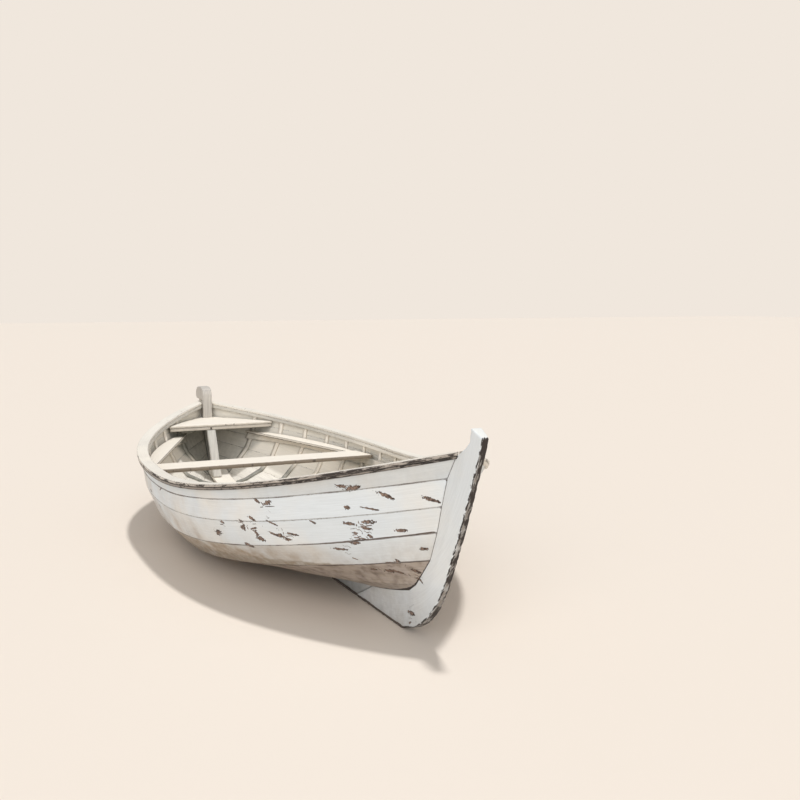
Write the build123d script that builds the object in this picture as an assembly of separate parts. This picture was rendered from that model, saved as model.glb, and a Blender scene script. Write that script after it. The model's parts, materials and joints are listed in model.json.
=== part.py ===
from build123d import *
from collections import namedtuple
from math import acos, cos, hypot, tan
import os

# An open, double-ended, carvel-planked rowing boat standing on its keel, as it lies on a beach.
# Millimetres. X runs forward, Y to port and Z up.
# The origin is on the ground, under the middle of the boat's overall length.
# Places along the boat are shares of hull_length, 0 at the sheer's after end and 1 at its fore end.

# Overall sizes, to the outside of the planking
hull_length = 4575.0      # between the two ends of the sheer
half_beam = 846.0         # at the sheer, at the widest station
depth = 535.0             # ground to the top of the planking, at the widest station
bow_sheer = 929.0         # ground to the top of the planking at the stem
stern_sheer = 717.0       # ground to the top of the planking at the sternpost
widest = 0.47
stem_overhang = 208.0     # stem head forward of the sheer's end
post_overhang = 130.0     # sternpost tip aft of the sheer's end

# Keel line
keel_height = 30.0        # ground to the rabbet, at the widest station
forefoot_height = 212.0   # ground to the rabbet at the stem
heel_height = 140.0       # ground to the rabbet at the sternpost

# Backbone
siding = 50.0             # width across the boat of keel, stem and sternpost
shoe_thick = 12.0
scarf = 0.751             # foot of the joint between keel and stem
scarf_long = 260.0
stem_back = 62.0          # rabbet to the stem's inner face
stem_face = 30.0          # width of the stem's front, where its sides are planed
planed_back = 90.0        # how far back from the front they are planed
apron_deep = 44.0
post_foot = 0.081         # where the keel meets the sternpost
post_back = 40.0          # rabbet to the sternpost's inner face
post_front_at = 84.0      # sheer's end to the front of the sternpost, below the seat
post_head_front = 122.0   # and above the seat
post_head_wide = 76.0     # width of its head, and of its front above the seat
post_head_thick = 30.0    # depth of the wide part below the rails
post_head_low = 749.0     # underside of the wide head

# Planking, rails and ribs
plank = 14.0
seam = 1.5                # caulked gap between two planks
joint = 0.5               # gap where other pieces meet
cap_thick = 16.0
cap_outside = 26.0        # cap rail's edge beyond the planking
cap_outside_bow = 8.0     # the rails stand out less towards the stem
cap_inside = 50.0
rub_thick = 22.0
rub_thick_bow = 6.0
rail_taper = 0.3          # from here, of the way from the widest station to the stem
rub_height = 20.0
inwale_thick = 18.0
inwale_height = 28.0
rib_thick = 14.0
rib_wide = 28.0
rib_gap = 2.0             # between a rib and the planking, for the putty
rib_head_gap = 3.0        # below the top of the planking
rib_count = 16
rib_fore = 0.875
rib_aft = 0.0885

# Seats and floor
thwart_wide = 246.0
thwart_thick = 28.0
thwart_top = 475.0
thwarts = (("thwart", 0.359), ("bow_thwart", 0.6545))      # name, middle of its width
seat_top = 603.0
seat_thick = 20.0
seat_front = 0.126
beam_deep = 26.0
beam_thick = 32.0
beam_setback = 6.0
bench_thick = 20.0
bench_aft = 0.0865
bench_gap = 3.0           # between the bench and the thwart
bench_drop = 114.0        # top of the stern seat to the bench's underside, at the seat's front
bench_edge_fore = 700.0   # half-breadth of the bench's inner edge at its fore end
bench_edge_slope = 0.41
riser_height = 46.0
riser_thick = 18.0
riser_fore = 0.766
keelson_wide = 150.0
keelson_thick = 18.0
floorboard_thick = 14.0
floorboards = (           # name, inner edge, outer edge, aft end, fore end
    ("inner_floorboard", 88.0, 216.0, 0.187, 0.788),
    ("outer_floorboard", 230.0, 350.0, 0.2415, 0.7025),
)
stanchion_wide = 66.0
stanchion_thick = 34.0
stanchion_top_y = -84.0   # it leans: the foot is nearer the keel than the head
stanchion_foot_y = -40.0
hook_long = 240.0
hook_thick = 34.0

# Holes in the quarter of each cap rail
thole_radius = 7.0
tholes = (0.1205, 0.0667)
thole_inset = 22.0        # from the outside of the planking

overall = hull_length + stem_overhang + post_overhang
bow_x = overall / 2 - stem_overhang
stern_x = -overall / 2 + post_overhang


def x_at(share):
    return stern_x + share * hull_length


widest_x, scarf_x, post_x = x_at(widest), x_at(scarf), x_at(post_foot)
seat_x, bench_aft_x = x_at(seat_front), x_at(bench_aft)
bench_fore_x = x_at(thwarts[0][1]) - thwart_wide / 2 - bench_gap
side_y = siding / 2 + joint                         # where planks and rails land on the backbone
ribs_inside = plank + rib_gap + rib_thick + 1.5     # outside of the planking to what lies on the ribs
shoe_top = shoe_thick + joint
post_front = stern_x + post_front_at

# The seams between the planks, from the sheer down to the rabbet. inset is from half_beam.
# The three heights are shares, 0 at the rabbet and 1 at the sheer.
# bow_rake and stern_rake are how far short of the sheer's ends a seam stops.
# bow_full and stern_full are exponents of its breadth in plan, bow_lift and stern_lift of its rise.
Seam = namedtuple("Seam", "inset mid_h bow_rake bow_h stern_rake stern_h bow_full stern_full bow_lift stern_lift")
seams = (
    Seam(0.0, 1.000, 0.0, 1.000, 0.0, 1.000, 2.67, 2.42, 1.91, 2.02),
    Seam(8.0, 0.855, 84.0, 0.842, 6.0, 0.823, 2.60, 2.38, 1.76, 2.00),
    Seam(21.0, 0.651, 137.0, 0.655, 35.0, 0.645, 2.50, 2.34, 1.88, 2.00),
    Seam(89.0, 0.333, 180.0, 0.480, 72.0, 0.484, 2.36, 2.30, 1.74, 2.00),
    Seam(221.0, 0.060, 250.0, 0.279, 150.0, 0.296, 2.10, 2.25, 1.54, 2.00),
    Seam(466.0, 0.024, 398.0, 0.066, 205.0, 0.113, 1.90, 2.20, 1.80, 2.10),
    Seam(None, 0.000, 475.0, 0.000, 240.0, 0.000, 2.00, 2.00, 3.00, 2.20),
)
strake_names = ("sheer_strake", "upper_strake", "side_strake", "bilge_strake", "floor_strake", "garboard_strake")
sheer, rabbet = 0, len(seams) - 1
square_to = 0.6           # sections are square to the seams up to here, and slant beyond it
stations = (-1.0, -0.95, -0.86, -0.72, -0.54, -0.36, -0.18, 0.0, 0.2, 0.4, 0.58, 0.74, 0.87, 0.95, 1.0)


# Shape of the hull, on the port side

def seam_end_x(k, ahead):
    return bow_x - seams[k].bow_rake if ahead else stern_x + seams[k].stern_rake


def share_height(share, low, high):
    return low + share * (high - low)


def hull_point(level, s):
    """Point on the hull at s, from -1 at the stern through 0 at the widest station to 1 at the bow.
    A whole level is a seam, and a level between two is on the straight line across that strake."""
    k = int(level)
    if level > k:
        return hull_point(k, s) * (k + 1 - level) + hull_point(k + 1, s) * (level - k)
    row = seams[k]
    ahead = s >= 0
    x = widest_x + abs(s) * (seam_end_x(k, ahead) - widest_x)
    full = row.bow_full if ahead else row.stern_full
    lift = row.bow_lift if ahead else row.stern_lift
    breadth = half_beam - row.inset if k < rabbet else side_y
    y = side_y + (breadth - side_y) * (1 - abs(s) ** full)
    middle = share_height(row.mid_h, keel_height, depth)
    if ahead:
        end = share_height(row.bow_h, forefoot_height, bow_sheer)
    else:
        end = share_height(row.stern_h, heel_height, stern_sheer)
    return Vector(x, y, middle + (end - middle) * abs(s) ** lift)


def hull_at(level, x):
    """Point on the hull at a distance x along the boat."""
    ahead = x >= widest_x
    k = int(level)
    reach = abs(seam_end_x(k, ahead) - widest_x)
    if level > k:
        reach = reach * (k + 1 - level) + abs(seam_end_x(k + 1, ahead) - widest_x) * (level - k)
    return hull_point(level, (x - widest_x) / reach)


def run(k, s, step=0.005):
    """Direction of seam k at s."""
    return (hull_point(k, min(s + step, 1)) - hull_point(k, max(s - step, -1))).normalized()


def angle_between(a, b):
    return acos(max(-1.0, min(1.0, a.dot(b))))


def inward_of(along, across):
    normal = along.cross(across).normalized()
    return normal if normal.Z > normal.Y else normal * -1


def sheer_frame(s):
    """At s on the sheer: the point, level outboard, and upright to both that and the sheer."""
    along = run(sheer, s)
    out = Vector(-along.Y, along.X, 0).normalized()
    up = along.cross(out)
    return hull_point(sheer, s), out, up if up.Z > 0 else up * -1


def under_cap(start, down, s, clear):
    """A point moved along down until it is clear below the plane that the cap rail lies on."""
    origin, _, up = sheer_frame(s)
    return start + down * ((-clear - (start - origin).dot(up)) / down.dot(up))


def to_side(point, along):
    """How far a point moves along a direction to reach the side of the stem or sternpost."""
    return (side_y - point.Y) / along.Y


def landed(corners_at, s):
    """The corners of a section at s. Towards both ends they run ahead along their own directions,
    so that the last section lies flat on the side of the stem or sternpost."""
    ease = max(0.0, (abs(s) - square_to) / (1 - square_to)) ** 2
    moved = []
    for (corner, along), (last, last_along) in zip(corners_at(s), corners_at(1 if s > 0 else -1)):
        moved.append(corner + along * (ease * to_side(last, last_along)))
    return moved


def hull_profile(x, inside=0.0):
    """Hull section at x, from above the sheer down to the rabbet, set in from the outside by inside."""
    levels = [i / 2 for i in range(2 * rabbet + 1)]
    points = [hull_at(level, x) for level in levels]
    moved = []
    for i, level in enumerate(levels):
        upper, lower = points[max(i - 1, 0)], points[min(i + 1, len(points) - 1)]
        along = hull_at(level, x + 5) - hull_at(level, x - 5)
        normal = inward_of(along, lower - upper)
        flat = Vector(0, normal.Y, normal.Z)
        half_turn = 0.0
        if 0 < i < len(points) - 1:
            half_turn = angle_between((points[i] - upper).normalized(), (lower - points[i]).normalized()) / 2
        moved.append(points[i] + flat.normalized() * (inside / flat.length / cos(half_turn)))
    return [moved[0] + (moved[0] - moved[1]).normalized() * 80] + moved


def crossing(points, axis, value):
    """Where a hull profile crosses a height (axis Z) or a half-breadth (axis Y)."""
    for a, b in zip(points, points[1:]):
        start, end = getattr(a, axis), getattr(b, axis)
        if (start - value) * (end - value) <= 0 and start != end:
            return a + (b - a) * ((value - start) / (end - start))
    return points[-1]


def x_steps(aft, fore, count):
    return [aft + i * (fore - aft) / (count - 1) for i in range(count)]


# Ways of making a solid

def outline(points):
    return make_face(Polyline(*points, close=True))


def lofted(sections, ruled=False):
    return loft([outline(points) for points in sections], ruled=ruled)


def skinned(sections):
    """A smooth skin over sections that may be slightly out of plane, flat at both ends."""
    return Solid.make_loft([Wire.make_polygon(corners) for corners in sections])


def mirrored(solid):
    return mirror(solid, about=Plane.XZ)


def slab(profile, wide=siding):
    """A profile in the XZ plane, given as (x, z) pairs, made as wide as the backbone or as given."""
    face = outline([(x, wide / 2, z) for x, z in profile])
    return extrude(face, amount=wide, dir=(0, -1, 0))


def box_sections(steps, y_range, z_range):
    """Upright rectangles across the boat, one at each x."""
    sections = []
    for x in steps:
        near, far = y_range(x)
        low, high = z_range(x)
        sections.append([(x, near, low), (x, far, low), (x, far, high), (x, near, high)])
    return sections


# Planking and rails

def strake_frame(j, s):
    """Directions across strake j and square into it, at s."""
    across = (hull_point(j + 1, s) - hull_point(j, s)).normalized()
    return across, inward_of(run(j, s) + run(j + 1, s), across)


def seam_edge(k, s):
    """Seam k at s: its outside point, its inside point, and half the gap, across the seam."""
    beside = [strake_frame(j, s) for j in (k - 1, k) if sheer <= j < rabbet]
    across = (beside[0][0] + beside[-1][0]).normalized()
    inward = (beside[0][1] + beside[-1][1]).normalized()
    outer = hull_point(k, s)
    inner = outer + inward * (plank / inward.dot(beside[0][1]))
    if k == sheer:
        return outer, under_cap(inner, across, s, 0), across * 0
    if k == rabbet:
        level = (Vector(0, 1, 0) - inward * inward.Y).normalized()
        return outer, inner + level * to_side(inner, level), across * 0
    return outer, inner, across * (seam / 2)


def strake_corners(j, s):
    """Strake j at s: two outside corners, then two inside ones, each with the direction of its edge."""
    top_outer, top_inner, top_gap = seam_edge(j, s)
    low_outer, low_inner, low_gap = seam_edge(j + 1, s)
    top_run, low_run = run(j, s), run(min(j + 1, rabbet - 1), s)
    return [(top_outer + top_gap, top_run), (low_outer - low_gap, low_run),
            (low_inner - low_gap, low_run), (top_inner + top_gap, top_run)]


def strake(j):
    return skinned([landed(lambda at: strake_corners(j, at), s) for s in stations])


def rail(corners_at):
    """A rail along the sheer, from its four corners at each station."""
    def edges_at(s):
        return [(corner, run(sheer, s)) for corner in corners_at(s)]
    return skinned([landed(edges_at, s) for s in stations])


def stand_out(full, at_bow, s):
    """How far a rail stands out from the planking at s."""
    return full + (at_bow - full) * max(0.0, (s - rail_taper) / (1 - rail_taper))


def side_rail(near, far, height):
    """A rail against the sheer strake and under the cap rail. near and far are functions of s, and
    are measured inboard from the strake's outer face."""
    def corners_at(s):
        across, inward = strake_frame(sheer, s)
        top = hull_point(sheer, s)
        high = [under_cap(top + inward * distance(s), across, s, joint) for distance in (near, far)]
        return [high[0], high[0] + across * height, high[1] + across * height, high[1]]
    return rail(corners_at)


def rubbing_strake():
    return side_rail(lambda s: -joint, lambda s: -joint - stand_out(rub_thick, rub_thick_bow, s), rub_height)


def inwale():
    return side_rail(lambda s: ribs_inside, lambda s: ribs_inside + inwale_thick, inwale_height)


def thole_place(x):
    """Middle of a thole hole's wall, and the direction of the hole, square to the cap rail."""
    point, out, up = sheer_frame((x - widest_x) / (widest_x - stern_x))
    return point - out * thole_inset + up * (joint + cap_thick / 2), up


def thole_hole(x):
    place, up = thole_place(x)
    return Plane(place, z_dir=up) * Cylinder(thole_radius, 3 * cap_thick)


def cap_rail():
    def corners_at(s):
        point, out, up = sheer_frame(s)
        low, high = up * joint, up * (joint + cap_thick)
        edge = out * stand_out(cap_outside, cap_outside_bow, s)
        return [point + edge + low, point + edge + high,
                point - out * cap_inside + high, point - out * cap_inside + low]
    solid = rail(corners_at)
    for x in map(x_at, tholes):
        solid -= thole_hole(x)
    return solid


# Framing and floor

def keel_top(x):
    return hull_at(rabbet, x).Z + plank


def rib_lines(x):
    """Outer and inner lines of the rib section at x, down to the heel on the keel."""
    outer, inner = hull_profile(x, plank + rib_gap), hull_profile(x, plank + rib_gap + rib_thick)
    turn = crossing(outer, "Y", side_y)
    heel = max(turn.Z, keel_top(x) + joint)
    over = [crossing(inner, "Y", side_y), Vector(x, joint, heel + rib_thick)]
    return outer[:-1] + [turn, Vector(x, joint, heel)], inner[:-1] + over


def ribs():
    """One bent rib each side at every rib station, butted over the keel."""
    pieces = []
    for x in x_steps(x_at(rib_aft), x_at(rib_fore), rib_count):
        sections = []
        for at in (x - rib_wide / 2, x + rib_wide / 2):
            outer, inner = rib_lines(at)
            head = hull_at(sheer, at).Z - rib_head_gap
            sections.append([crossing(outer, "Z", head)] + outer[2:] + inner[:1:-1] + [crossing(inner, "Z", head)])
        pieces.append(lofted(sections, ruled=True))
    return Compound(children=pieces)


bench_steps = x_steps(bench_aft_x, bench_fore_x, 12)


def riser_top(x):
    """Under the thwarts, and rising from there to run under the stern seat."""
    low = thwart_top - thwart_thick - joint
    return low + (seat_top - bench_drop - low) * max(bench_fore_x - x, 0) / (bench_fore_x - seat_x)


def strip_on_ribs(steps, thick, axis, edges_at):
    """A strip lying on the ribs, between two heights (axis Z) or two half-breadths (axis Y)."""
    sections = []
    for x in steps:
        under, over = hull_profile(x, ribs_inside), hull_profile(x, ribs_inside + thick)
        first, second = edges_at(x)
        sections.append([crossing(under, axis, first), crossing(under, axis, second),
                         crossing(over, axis, second), crossing(over, axis, first)])
    return lofted(sections, ruled=True)


def riser():
    steps = bench_steps + x_steps(bench_fore_x, x_at(riser_fore), 18)[1:]
    return strip_on_ribs(steps, riser_thick, "Z", lambda x: (riser_top(x), riser_top(x) - riser_height))


def floorboard(near, far, aft, fore):
    return strip_on_ribs(x_steps(x_at(aft), x_at(fore), 24), floorboard_thick, "Y", lambda x: (near, far))


def keelson_top(x):
    return crossing(hull_profile(x, ribs_inside), "Y", keelson_wide / 2).Z + keelson_thick


def keelson():
    steps = x_steps(bench_aft_x, x_at(rib_fore), 3 * rib_count)
    half = keelson_wide / 2
    sections = box_sections(steps, lambda x: (-half, half), lambda x: (keelson_top(x) - keelson_thick, keelson_top(x)))
    return lofted(sections, ruled=True)


# Seats

def half_breadth(x, low, high, inside=ribs_inside):
    """Clear half-breadth at x between two heights."""
    side = hull_profile(x, inside)
    return min(crossing(side, "Z", low).Y, crossing(side, "Z", high).Y)


def side_bench():
    def y_range(x):
        low = riser_top(x) + joint
        return bench_edge_fore - bench_edge_slope * (bench_fore_x - x), half_breadth(x, low, low + bench_thick)

    steps = bench_steps[:-1] + [bench_fore_x - joint]
    return lofted(box_sections(steps, y_range, lambda x: (riser_top(x) + joint, riser_top(x) + joint + bench_thick)),
                  ruled=True)


def cross_board(aft, fore, count, low, thick):
    """A level board from side to side of the boat."""
    def y_range(x):
        half = half_breadth(x, low, low + thick)
        return -half, half

    return lofted(box_sections(x_steps(aft, fore, count), y_range, lambda x: (low, low + thick)), ruled=True)


def thwart(share):
    aft = x_at(share) - thwart_wide / 2
    return cross_board(aft, aft + thwart_wide, 4, thwart_top - thwart_thick, thwart_thick)


def stern_seat():
    """Notched round the wide front of the sternpost."""
    low, front = seat_top - seat_thick, stern_x + post_head_front + joint
    board = cross_board(post_front + joint, seat_x, 10, low, seat_thick)
    notch = [(stern_x, low - 1), (front, low - 1), (front, seat_top + 1), (stern_x, seat_top + 1)]
    return board - slab(notch, post_head_wide + 2 * joint)


def seat_beam():
    fore = seat_x - beam_setback
    return cross_board(fore - beam_thick, fore, 2, seat_top - seat_thick - joint - beam_deep, beam_deep)


def stanchion():
    x = seat_x - beam_setback - beam_thick / 2
    head = seat_top - seat_thick - beam_deep - 2 * joint
    foot = keelson_top(x - stanchion_thick / 2) + 2 * joint
    sections = []
    for y, z in ((stanchion_foot_y, foot), (stanchion_top_y, head)):
        a, b = stanchion_wide / 2, stanchion_thick / 2
        sections.append([(x - b, y - a, z), (x + b, y - a, z), (x + b, y + a, z), (x - b, y + a, z)])
    return lofted(sections, ruled=True)


# Backbone. Stem and sternpost follow the rabbet, which passes through the ends of the seams.

def rabbet_x(z, ahead):
    ends = [hull_point(k, 1 if ahead else -1) for k in range(len(seams))]
    return crossing(ends, "Z", z).X if z < ends[0].Z else ends[0].X


def stem():
    face = [(bow_x + 208, 1027), (bow_x + 156, 905), (bow_x + 86, 750), (bow_x - 3, 560), (bow_x - 81, 412),
            (bow_x - 136, 308), (bow_x - 202, 214), (bow_x - 272, 144), (bow_x - 345, 88), (bow_x - 430, 42),
            (bow_x - 540, shoe_top)]
    scarf_top = scarf_x + scarf_long
    under = [(scarf_x, shoe_top), (scarf_top, keel_top(scarf_top)), (bow_x - 720, keel_top(bow_x - 720))]
    back = [(rabbet_x(z, True) - stem_back, z) for z in (220, 290, 380, 500, 640, 780, 880)]
    shoulder = [(bow_x + 14 - stem_back, 916), (bow_x + 14, 936), (bow_x + 84, 979)]
    head = [(bow_x + 108, 1006), (bow_x + 118, 1062)]
    solid = slab(face + under + back + shoulder + head)
    side = planing(face[:-1])
    return solid - side - mirrored(side)


def planing(face):
    """What is planed off the port side of the stem: full depth from the head down to the sixth point of
    its face, and running out towards the forefoot."""
    (x, z), (next_x, next_z) = face[:2]
    face = [(2 * x - next_x, 2 * z - next_z)] + face
    side, deep = siding / 2, (siding - stem_face) / 2
    sections = []
    for i, (x, z) in enumerate(face):
        a, b = face[max(i - 1, 0)], face[min(i + 1, len(face) - 1)]
        length = hypot(b[0] - a[0], b[1] - a[1])
        back = Vector((b[1] - a[1]) / length, 0, (a[0] - b[0]) / length)
        cut = deep * min(1.0, 1.1 - 0.33 * (i - 6))
        front, inner = Vector(x, side - cut, z), Vector(x, side, z) + back * planed_back
        slant = (front - inner) * 0.1
        sections.append([inner - slant, front + slant, Vector(x, side, z) - back * (0.1 * planed_back) + Vector(0, deep, 0)])
    return lofted(sections, ruled=True)


def apron_back(z):
    return rabbet_x(z, True) - stem_back - joint - apron_deep


def apron():
    heights = (300, 380, 500, 640, 780, 880, 915)
    near = [(apron_back(z) + apron_deep, z) for z in heights]
    far = [(apron_back(z), z) for z in heights]
    return slab(near + far[::-1])


def keel():
    tops = [(x, keel_top(x)) for x in x_steps(post_x + 2, scarf_x + scarf_long - 6, 12)]
    return slab([(post_x + 2, shoe_top), (scarf_x - 4, shoe_top)] + tops[::-1])


def keel_shoe():
    fore = bow_x - 540
    return slab([(post_x - 190, 0), (fore - 20, 0), (fore, shoe_thick), (post_x - 205, shoe_thick)])


def sternpost():
    """The post, with a wider curled head whose front comes down into the stern seat's notch."""
    aft = [(post_x - 205, shoe_top), (stern_x + 62, 311), (stern_x - 2, 500), (stern_x - 20, 590),
           (stern_x - 24, 668), (stern_x - 60, 716), (stern_x - 92, post_head_low)]
    front, foot = stern_x + post_head_front, seat_top - seat_thick
    curl = [(stern_x - 112, post_head_low), (stern_x - 128, 772), (stern_x - 130, 798), (stern_x - 116, 824),
            (stern_x - 84, 843), (stern_x - 30, 853), (stern_x + 36, 853), (stern_x + 78, 845),
            (stern_x + 104, 826), (stern_x + 117, 796), (front, post_head_low), (front, foot)]
    inner = [(post_front, foot), (post_front, seat_top - 60)]
    inner += [(rabbet_x(z, False) + post_back, z) for z in (420, 330, 250, 190)]
    post = slab(aft + curl[-2:] + inner + [(post_x, keel_top(post_x)), (post_x, shoe_top)])
    head = slab(curl + [(front - post_head_thick, foot), (front - post_head_thick, post_head_low)], post_head_wide)
    return post + head


def breasthook():
    near = ribs_inside + inwale_thick + 5.0
    fore = apron_back(bow_sheer)
    for _ in range(6):
        fore = apron_back(hull_at(sheer, fore).Z - joint - hook_thick) - joint

    def y_range(x):
        point, ahead = hull_at(sheer, x), hull_at(sheer, x + 5)
        half = point.Y - near * hypot(ahead.X - point.X, ahead.Y - point.Y) / (ahead.X - point.X)
        half -= hook_thick * (point.Y - hull_at(sheer + 1, x).Y) / (point.Z - hull_at(sheer + 1, x).Z)
        return -half, half

    def z_range(x):
        high = hull_at(sheer, x).Z - joint
        return high - hook_thick, high

    return lofted(box_sections(x_steps(fore - hook_long, fore, 5), y_range, z_range), ruled=True)


nodes = {}
for j, name in enumerate(strake_names):
    nodes[name + "_port"] = strake(j)
for name, make in (("cap_rail", cap_rail), ("rubbing_strake", rubbing_strake), ("inwale", inwale),
                   ("ribs", ribs), ("riser", riser), ("side_bench", side_bench)):
    nodes[name + "_port"] = make()
for name, near, far, aft, fore in floorboards:
    nodes[name + "_port"] = floorboard(near, far, aft, fore)
for name in list(nodes):
    nodes[name.replace("_port", "_starboard")] = mirrored(nodes[name])
for name, middle in thwarts:
    nodes[name] = thwart(middle)
for make in (stern_seat, seat_beam, stanchion, breasthook, keelson, keel, keel_shoe, stem, apron, sternpost):
    nodes[make.__name__] = make()

os.makedirs("parts", exist_ok=True)
for name, shape in nodes.items():
    export_step(shape, f"parts/{name}.step")
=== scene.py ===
import json
import math

import bmesh
import bpy
import numpy as np
from mathutils import Matrix, Vector, kdtree, noise

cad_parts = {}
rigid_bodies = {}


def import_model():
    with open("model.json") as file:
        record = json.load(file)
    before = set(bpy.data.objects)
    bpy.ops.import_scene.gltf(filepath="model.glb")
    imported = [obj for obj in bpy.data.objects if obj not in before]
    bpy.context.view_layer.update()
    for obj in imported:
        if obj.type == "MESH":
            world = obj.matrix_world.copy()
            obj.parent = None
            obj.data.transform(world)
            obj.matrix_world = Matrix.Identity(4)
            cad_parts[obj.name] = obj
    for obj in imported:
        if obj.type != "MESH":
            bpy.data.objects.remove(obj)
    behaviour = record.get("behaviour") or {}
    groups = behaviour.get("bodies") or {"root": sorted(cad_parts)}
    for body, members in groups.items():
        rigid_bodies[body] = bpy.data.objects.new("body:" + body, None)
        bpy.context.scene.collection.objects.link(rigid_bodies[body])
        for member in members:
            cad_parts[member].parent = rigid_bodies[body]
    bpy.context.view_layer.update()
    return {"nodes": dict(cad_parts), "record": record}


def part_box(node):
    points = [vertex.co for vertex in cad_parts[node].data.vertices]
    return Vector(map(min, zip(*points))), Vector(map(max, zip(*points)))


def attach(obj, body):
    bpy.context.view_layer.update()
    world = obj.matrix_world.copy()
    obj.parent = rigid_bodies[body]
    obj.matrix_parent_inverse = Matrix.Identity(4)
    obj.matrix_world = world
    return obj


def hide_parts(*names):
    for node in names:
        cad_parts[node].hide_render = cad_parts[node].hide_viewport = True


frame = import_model()
print("frame loaded:", len(frame["nodes"]), "nodes")

slotOf = {part["node"]: part["material_slot"] for part in frame["record"]["subparts"]}
sharpAngle = math.radians(25)
sides = ("port", "starboard")


def linear(hexColour):
    parts = [int(hexColour[i:i + 2], 16) / 255 for i in (1, 3, 5)]
    return [c / 12.92 if c <= 0.04045 else ((c + 0.055) / 1.055) ** 2.4 for c in parts] + [1.0]


def addNode(tree, kind, settings, links):
    node = tree.nodes.new("ShaderNode" + kind)
    for name, value in settings.items():
        setattr(node, name, value)
    for key, value in links.items():
        if isinstance(value, bpy.types.NodeSocket):
            tree.links.new(value, node.inputs[key])
        else:
            node.inputs[key].default_value = value
    return node


# Oil paint on softwood, brushed on and years old: matt, a little cloudy, dirty in the seams and flaked to the
# wood in places.
paintLook = {
    "cool": "#E8EFF4",          # where the paint has chalked
    "warm": "#EFEEEA",          # where it has yellowed
    "inside": "#FAF4E9",        # cream on the inboard faces
    "stain": "#B3A28E",         # run-off and old varnish
    "dampAndShade": "#51564F",          # grey-green mildew, also used for painted shade under seats, rails and the rubbing strake
    "grime": "#3D3633",         # tar and wet rot on edges
    "seam": "#57473D",
    "woodLight": "#9A8476",     # weathered bare softwood in a flake
    "woodDark": "#5E4B42",
    "rim": "#3C2E28",           # broken paint round a flake
    "cloudSize": 0.45,          # metres, as are the sizes below
    "mottleSize": 0.040,
    "flakeSize": 0.011,
    "brushLong": 0.14,          # one brush mark, along and across
    "brushWide": 0.0045,
    "chipLong": 0.045,          # one chip on an edge, along and across
    "chipWide": 0.014,
    "brush": 0.09,              # how far brush marks darken
    "seamWide": 0.0040,
    "seamDark": 0.80,
    "bare": 0.0,                # how far back every arris has lost its paint
    "roughness": 0.68,
}


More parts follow.
